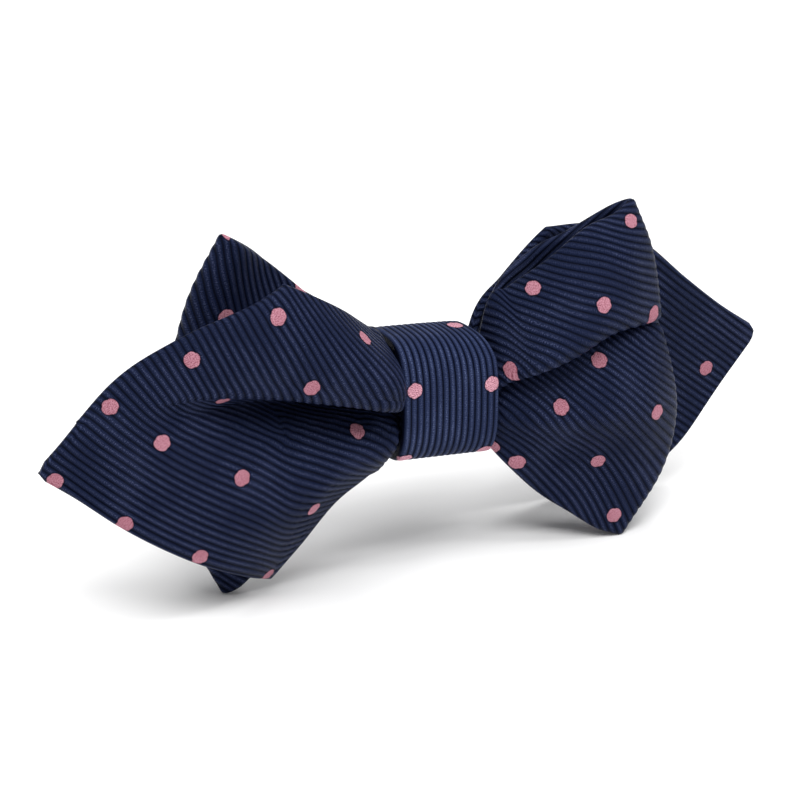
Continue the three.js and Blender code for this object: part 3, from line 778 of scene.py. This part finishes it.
def thick_cloth(middle, weave, apart):
    """Points, quads and weave places of a sheet with ribs on both faces and a rounded rim."""
    places = np.dstack([weave, apart])
    normals = grid_normals(middle)
    row_count, column_count = middle.shape[:2]
    ring = rim_ring(row_count, column_count)
    i, j = ring[:, 0], ring[:, 1]
    inner_i = np.clip(i, 1, row_count - 2)
    inner_j = np.clip(j, 1, column_count - 2)
    half = CLOTH_THICKNESS / 2
    row, column = np.indices((row_count, column_count))
    edge = np.minimum.reduce([row, row_count - 1 - row, column, column_count - 1 - column])
    fade = np.clip(edge * MESH_STEP / RELIEF_FADE, 0, 1)
    raised = (half + relief(weave, apart) * fade)[..., None]
    outward = unit(middle[i, j] - middle[inner_i, inner_j])
    step = np.linalg.norm(middle[i, j] - middle[inner_i, inner_j], axis=1)[:, None]
    slope = (places[i, j] - places[inner_i, inner_j]) / np.maximum(step, LEAST_STEP)
    points = [(middle + normals * raised).reshape(-1, 3)]
    weaves = [places.reshape(-1, 3)]
    for turn in range(1, RIM_TURNS):
        angle = math.pi * turn / RIM_TURNS
        reach = min(angle, math.pi - angle) * half
        swell = math.sin(angle) * RIM_ROUND * CLOTH_THICKNESS
        points.append(middle[i, j] + normals[i, j] * (half * math.cos(angle)) + outward * swell)
        weaves.append(places[i, j] + slope * reach)
    points.append((middle - normals * raised).reshape(-1, 3))
    weaves.append(places.reshape(-1, 3))
    face = row_count * column_count
    index, (a, b, c, d) = grid_corners(row_count, column_count)
    back = face + (RIM_TURNS - 1) * len(ring)
    quads = [np.stack([a, b, c, d], 1), back + np.stack([d, c, b, a], 1)]
    rings = [index[i, j]]
    rings += [face + k * len(ring) + np.arange(len(ring)) for k in range(RIM_TURNS - 1)]
    rings.append(back + index[i, j])
    for first, second in zip(rings[:-1], rings[1:]):
        quads.append(np.stack([first, np.roll(first, -1), np.roll(second, -1), second], 1))
    return np.concatenate(points), np.concatenate(quads), np.concatenate(weaves)


def facing_out(points, quads):
    """The quads, turned round if they face into the body."""
    a, b, c, d = (points[quads[:, k]] for k in range(4))
    volume = (np.cross(b - a, c - a) * a).sum() + (np.cross(c - a, d - a) * a).sum()
    return quads if volume > 0 else quads[:, ::-1]


def turned(pattern, degrees):
    """Flat places as distance across the ribs and distance along them."""
    angle = math.radians(degrees)
    across = pattern[..., 1] * math.cos(angle) - pattern[..., 0] * math.sin(angle)
    along = pattern[..., 0] * math.cos(angle) + pattern[..., 1] * math.sin(angle)
    return np.stack([across, along], axis=-1)


def wing_cloth(stations, cut, reach, start, end, rib_angle, wedge):
    """The middle of one wing's cloth and its flat places."""
    middle, shares, at = cloth_grid(stations, cut, reach, start, end)
    pleat_run = PLEAT_START * reach + at
    if end < 0:
        middle = eased_ridges(middle, shares, -pleat_run)
    shares = np.where(pleat_run[:, None] > 0, shares, 0)
    hidden = wedge * np.clip(pleat_run, 0, None)
    return middle, turned(pattern_of(middle, shares, hidden), rib_angle)


def make_wing(name, node, middle, weave, nearest, material):
    """One wing of a bow as a sheet of cloth."""
    middles = dot_middles(name, near_face(middle), weave, nearest)
    points, quads, weaves = thick_cloth(middle, weave, dot_distance(middle, weave, middles))
    quads = facing_out(points, quads)
    made = make_mesh(name, place(points), quads, weaves, material)
    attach(made, "root")
    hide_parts(node)


# The knot

def band_profile():
    """The band's section as x and height over its inner face, with ribs on its outer face."""
    edge = BAND_WALL * BAND_EDGE_SHARE
    end_x = KNOT_HALF_WIDTH - edge
    pitch = 2 * KNOT_HALF_WIDTH / BAND_RIBS
    profile = []

    def corner(x, outward, start):
        for angle in np.linspace(start, start + math.pi / 2, BAND_CORNER_POINTS):
            profile.append((x + edge * math.cos(angle), outward + edge * math.sin(angle)))

    corner(end_x, BAND_WALL - edge, 0)
    for x in np.linspace(end_x, -end_x, BAND_RIBS * BAND_RIB_POINTS)[1:-1]:
        fade = min(1.0, (end_x - abs(x)) / pitch)
        rib = rib_wave(x * RIB_PITCH / pitch) - RIB_LEVEL
        profile.append((x, BAND_WALL + fade * RIB_HEIGHT * rib))
    corner(-end_x, BAND_WALL - edge, math.pi / 2)
    corner(-end_x, edge, math.pi)
    corner(end_x, edge, 1.5 * math.pi)
    return np.array(profile), pitch


def band_points(x, angle, outward):
    """Points of the band: x along the knot, an angle round it, and a height over its inner face."""
    def rounded(value):
        return np.sign(value) * np.abs(value) ** (2 / BAND_SQUARENESS)

    half_depth = (OPENING_FRONT + OPENING_BACK) / 2 + outward
    half_rise = KNOT_INNER_HALF_HEIGHT + outward
    taper = np.where(x > 0, BAND_TAPER, BAND_LEFT_TAPER)
    return np.stack([
        x * (1 - taper * np.maximum(0, np.sin(angle + BAND_TAPER_TURN))),
        (OPENING_BACK - OPENING_FRONT) / 2 + half_depth * rounded(np.cos(angle)),
        knot_middle(x) + half_rise * rounded(np.sin(angle)),
    ], axis=-1)


def band_grid():
    """The band's smooth skin as a grid, round it and across its section, and its flat places."""
    profile, pitch = band_profile()
    angles = np.linspace(0, 2 * math.pi, BAND_SAMPLES)
    middle_line = band_points(np.zeros_like(angles), angles, BAND_WALL)
    steps = np.linalg.norm(np.diff(middle_line, axis=0), axis=1)
    places = even_places(steps, BAND_TURNS + 1)[:-1]
    even_angles = np.interp(places, np.arange(len(angles)), angles)
    angle, x = np.meshgrid(even_angles, profile[:, 0], indexing="ij")
    outward = np.broadcast_to(profile[:, 1], x.shape)
    around = np.linspace(0, steps.sum(), BAND_TURNS, endpoint=False)
    along = np.broadcast_to(around[:, None], x.shape)
    weave = np.stack([x * RIB_PITCH / pitch, along], axis=-1)
    return angle, x, outward, weave, steps.sum()


def make_band(grid, nearest, material):
    """The ring of cloth round the middle, with its ribs running round it."""
    angle, x, outward, weave, length = grid
    outer = outward > BAND_WALL * BAND_OUTER_SHARE
    skin = band_points(x, angle, outward)
    middles = dot_middles("knot_cloth_band", skin[:, outer[0]], weave[:, outer[0]], nearest)
    apart = dot_distance(band_points(x, angle, BAND_WALL), weave, middles)
    inside = inside_dot(apart) * outer
    points = band_points(x, angle, outward * (1 - inside) + inside * (BAND_WALL + DOT_RISE))
    points = points.reshape(-1, 3)
    index = np.arange(x.size).reshape(x.shape)
    after = np.roll(index, -1, axis=0)
    corners = [index, after, np.roll(after, -1, axis=1), np.roll(index, -1, axis=1)]
    quads = facing_out(points, np.stack(corners, axis=-1).reshape(-1, 4))
    weaves = np.dstack([weave, apart]).reshape(-1, 3)
    made = make_mesh("knot_cloth_band", place(points), quads, weaves, material)
    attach(made, "root")
    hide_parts("knot_band")


# Materials

class Nodes:
    """Short names for building a material's node tree."""

    def __init__(self, name):
        self.material = bpy.data.materials.new(name)
        self.material.use_nodes = True
        self.tree = self.material.node_tree
        self.shader = self.tree.nodes["Principled BSDF"]

    def new(self, kind, **settings):
        node = self.tree.nodes.new(kind)
        for key, value in settings.items():
            setattr(node, key, value)
        return node

    def link(self, source, target):
        self.tree.links.new(source, target)

    def feed(self, sockets, values):
        """Each value, a socket or a constant, fed to its input socket."""
        for socket, value in zip(sockets, values):
            if isinstance(value, bpy.types.NodeSocket):
                self.link(value, socket)
            else:
                socket.default_value = value

    def math(self, operation, *inputs):
        node = self.new("ShaderNodeMath", operation=operation)
        self.feed(node.inputs, inputs)
        return node.outputs[0]

    def ramp(self, value, low, high):
        """0 where value is at low and 1 where it is at high, eased between."""
        node = self.new("ShaderNodeMapRange", interpolation_type="SMOOTHSTEP")
        self.feed(node.inputs, [value, low, high])
        return node.outputs[0]

    def mix(self, share, first, second):
        node = self.new("ShaderNodeMix", data_type="RGBA")
        self.feed([node.inputs[0], node.inputs[6], node.inputs[7]], [share, first, second])
        return node.outputs[2]

    def noise(self, vector, scale, detail):
        node = self.new("ShaderNodeTexNoise")
        self.link(vector, node.inputs["Vector"])
        node.inputs["Scale"].default_value = scale
        node.inputs["Detail"].default_value = detail
        return node.outputs["Fac"]

    def bump(self, height, strength, distance):
        node = self.new("ShaderNodeBump")
        node.inputs["Strength"].default_value = strength
        node.inputs["Distance"].default_value = distance
        self.link(height, node.inputs["Height"])
        self.link(node.outputs["Normal"], self.shader.inputs["Normal"])

    def object_place(self):
        return self.new("ShaderNodeTexCoord").outputs["Object"]


def cloth_material(name, crest_highlight, body, bright):
    """Ribbed navy cloth with woven pink dots, drawn from the flat pattern's own coordinates, with
    painted shade in the grooves and painted highlights on the crests.
    """
    n = Nodes(name)
    weave = n.new("ShaderNodeAttribute", attribute_name="weave").outputs["Vector"]
    split = n.new("ShaderNodeSeparateXYZ")
    n.link(weave, split.inputs[0])
    across, along, apart = split.outputs
    flat = n.new("ShaderNodeCombineXYZ")
    n.feed(flat.inputs, [across, along])
    flat = flat.outputs[0]

    # Ribs, the fine threads that cross them, and loose fibres
    wave = n.math("ABSOLUTE", n.math("COSINE", n.math("MULTIPLY", across, math.pi / RIB_PITCH)))
    wobble = n.noise(flat, scale=1.3, detail=2.0)
    thread_turn = n.math("MULTIPLY", wobble, 12.0)
    thread_turn = n.math("MULTIPLY_ADD", along, 2 * math.pi / THREAD_PITCH, thread_turn)
    thread = n.math("MULTIPLY_ADD", n.math("SINE", thread_turn), 0.5, 0.5)
    fibre = n.noise(flat, scale=5.5, detail=4.0)
    patches = n.noise(flat, scale=0.11, detail=3.0)

    # A dot's edge, ragged where threads end and drawn in by the grooves
    edge = n.math("MULTIPLY_ADD", n.math("SUBTRACT", fibre, 0.5), 0.3, apart)
    edge = n.math("MULTIPLY_ADD", n.math("SUBTRACT", 0.6, wave), 0.12, edge)
    dot = n.math("SUBTRACT", 1.0, n.ramp(edge, DOT_RADIUS - 0.07, DOT_RADIUS + 0.05))

    # Navy: painted shade in the grooves, painted highlights on the crests in patches with a faint
    # painted sheen over larger patches, darker lines between the crossing threads, and a dark ring
    # round each dot
    # painted shade: the grooves go near black
    navy = n.mix(n.ramp(wave, 0.1, 0.7), NAVY_GROOVE_SHADE, body)
    glint = n.math("MULTIPLY", n.ramp(wave, 0.78, 0.98), n.ramp(fibre, 0.42, 0.6))
    glint = n.math("MULTIPLY", glint, n.math("MULTIPLY_ADD", n.ramp(patches, 0.36, 0.58), 0.7, 0.3))
    navy = n.mix(glint, navy, crest_highlight)
    navy = n.mix(n.math("MULTIPLY", n.ramp(patches, 0.5, 0.8), 0.14), navy, crest_highlight)
    navy = n.mix(n.math("MULTIPLY", n.math("SUBTRACT", 1.0, thread), 0.4), navy, NAVY_GROOVE_SHADE)
    ring = n.math("MULTIPLY", n.ramp(edge, DOT_RADIUS - 0.05, DOT_RADIUS + 0.05), 0.75)
    outside = n.ramp(edge, DOT_RADIUS + 0.1, DOT_RADIUS + 0.3)
    ring = n.math("MULTIPLY", ring, n.math("SUBTRACT", 1.0, outside))
    navy = n.mix(ring, navy, NAVY_GROOVE_SHADE)

    # Pink threads, some dots deeper than others
    strand = n.math("MULTIPLY_ADD", thread, 0.3, n.ramp(fibre, 0.36, 0.62))
    pink = n.mix(strand, PINK_DEEP, bright)
    pink = n.mix(n.math("MULTIPLY", n.ramp(patches, 0.4, 0.62), 0.3), pink, PINK_DEEP)
    n.link(n.mix(dot, navy, pink), n.shader.inputs["Base Color"])

    rough = n.math("MULTIPLY_ADD", fibre, 0.3, n.math("MULTIPLY_ADD", dot, 0.05, 0.24))
    n.link(rough, n.shader.inputs["Roughness"])
    n.shader.inputs["Specular IOR Level"].default_value = 0.05
    n.shader.inputs["Specular Tint"].default_value = SHEEN_BLUE

    # Bump: round ribs, threads across them, and fibres
    ribs = n.math("MULTIPLY", n.math("SUBTRACT", 1.0, dot), n.math("POWER", wave, 0.6))
    height = n.math("MULTIPLY_ADD", thread, 0.16, n.math("MULTIPLY", ribs, 0.8))
    height = n.math("MULTIPLY_ADD", fibre, 0.35, height)
    height = n.math("MULTIPLY_ADD", dot, 0.75, height)
    n.bump(height, strength=0.8, distance=0.0003)
    return n.material


def plastic_material():
    """Matte dark plastic with a fine moulded grain and a few dull patches."""
    n = Nodes("dark_plastic")
    where = n.object_place()
    grain = n.noise(where, scale=2600.0, detail=3.0)
    patches = n.noise(where, scale=180.0, detail=3.0)
    n.link(n.mix(patches, PLASTIC_DARK, PLASTIC_WORN), n.shader.inputs["Base Color"])
    n.link(n.math("MULTIPLY_ADD", patches, 0.25, 0.32), n.shader.inputs["Roughness"])
    n.bump(grain, strength=0.25, distance=0.00005)
    return n.material


def floor_material():
    """A matte, almost white floor, a little uneven in tone."""
    n = Nodes("pale_floor")
    patches = n.noise(n.object_place(), scale=3.0, detail=2.0)
    n.link(n.mix(patches, FLOOR_PALE, FLOOR_PALEST), n.shader.inputs["Base Color"])
    n.shader.inputs["Roughness"].default_value = 1.0
    n.shader.inputs["Specular IOR Level"].default_value = 0.0
    return n.material


# The pieces

def make_cloth():
    """The two bows, each as its pointed end and its loop, and the band round them."""
    front = strip_stations(
        1, FRONT_POINT_SECTIONS, FRONT_POINT_REACH, (FRONT_KNOT_LEFT, FRONT_KNOT_RIGHT),
        RIGHT_LOOP_SECTIONS, RIGHT_LOOP_REACH, RIGHT_FOLD,
    )
    back = strip_stations(
        -1, BACK_POINT_SECTIONS, BACK_POINT_REACH, (BACK_KNOT, BACK_KNOT),
        LEFT_LOOP_SECTIONS, LEFT_LOOP_REACH, LEFT_FOLD,
    )

    strips = {
        "front_bow": (front, FRONT_POINT_CUT, FRONT_POINT_REACH),
        "back_bow": (back, BACK_POINT_CUT, BACK_POINT_REACH),
    }

    def wing(node, start, end, rib_angle, wedge=OTHER_PLEAT_WEDGE):
        return node, wing_cloth(*strips[node], start, end, rib_angle, wedge)

    wings = {
        "front_point_cloth": wing(
            "front_bow", -FRONT_POINT_REACH, -WING_START, rib_angle=59, wedge=FRONT_PLEAT_WEDGE),
        "front_loop_cloth": wing("front_bow", WING_START, front[0][-1], rib_angle=34),
        "back_point_cloth": wing("back_bow", -BACK_POINT_REACH, -WING_START, rib_angle=145),
        "back_loop_cloth": wing("back_bow", WING_START, back[0][-1], rib_angle=58),
    }
    band = band_grid()
    angle, x, outward = band[:3]
    surfaces = [near_face(middle) for _, (middle, _) in wings.values()]
    nearest = depth_picture(surfaces + [band_points(x, angle, outward)])
    cloth = cloth_material("dotted_cloth", NAVY_CREST_HIGHLIGHT, NAVY_BODY, PINK)
    for name, (node, (middle, weave)) in wings.items():
        make_wing(name, node, middle, weave, nearest, cloth)
    # the knot's cloth takes the lighter, painted-light copy of the colours
    make_band(band, nearest, cloth_material("knot_cloth", KNOT_LIT_CREST_HIGHLIGHT, KNOT_LIT_BODY, KNOT_LIT_PINK))


def dress_clip():
    """The clip shows as the part's own solid, in dark plastic."""
    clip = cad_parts["collar_clip"]
    clip.data.materials.clear()
    clip.data.materials.append(plastic_material())


# Floor, light and camera

def make_floor():
    """A wide, pale floor."""
    bpy.ops.mesh.primitive_plane_add(size=6)
    floor = bpy.context.object
    floor.name = "floor"
    floor.data.materials.append(floor_material())


def area_light(name, azimuth, elevation, distance, size, power):
    """A soft square light that faces the knot."""
    data = bpy.data.lights.new(name, "AREA")
    data.energy = power
    data.size = size
    light = bpy.data.objects.new(name, data)
    bpy.context.scene.collection.objects.link(light)
    back = towards(azimuth, elevation)
    light.location = place([0, 0, 0]) + back * distance
    light.rotation_mode = "QUATERNION"
    light.rotation_quaternion = mathutils.Vector(-back).to_track_quat("-Z", "Y")


def make_world():
    """An even, soft light from all sides."""
    world = bpy.data.worlds.new("studio")
    bpy.context.scene.world = world
    world.use_nodes = True
    background = world.node_tree.nodes["Background"]
    background.inputs["Color"].default_value = (1, 1, 1, 1)
    background.inputs["Strength"].default_value = 0.4


def make_camera():
    """The photo's camera."""
    data = bpy.data.cameras.new("camera")
    data.sensor_width = SENSOR_WIDTH
    data.lens = FOCAL_PIXELS / PICTURE_WIDTH * SENSOR_WIDTH
    data.clip_start = 0.01
    data.clip_end = 20
    camera = bpy.data.objects.new("camera", data)
    bpy.context.scene.collection.objects.link(camera)
    camera.location = place(camera_place())
    camera.rotation_mode = "QUATERNION"
    axes = mathutils.Matrix(np.stack(camera_axes(), axis=1).tolist())
    camera.rotation_quaternion = axes.to_quaternion()
    bpy.context.scene.camera = camera


make_cloth()
dress_clip()
make_floor()
make_world()
area_light("key", azimuth=-24, elevation=58, distance=2, size=0.8, power=23)
area_light("top", azimuth=0, elevation=88, distance=2, size=1.1, power=23)
area_light("side", azimuth=62, elevation=36, distance=2, size=0.5, power=12)
make_camera()
bpy.context.scene.view_settings.view_transform = "Standard"
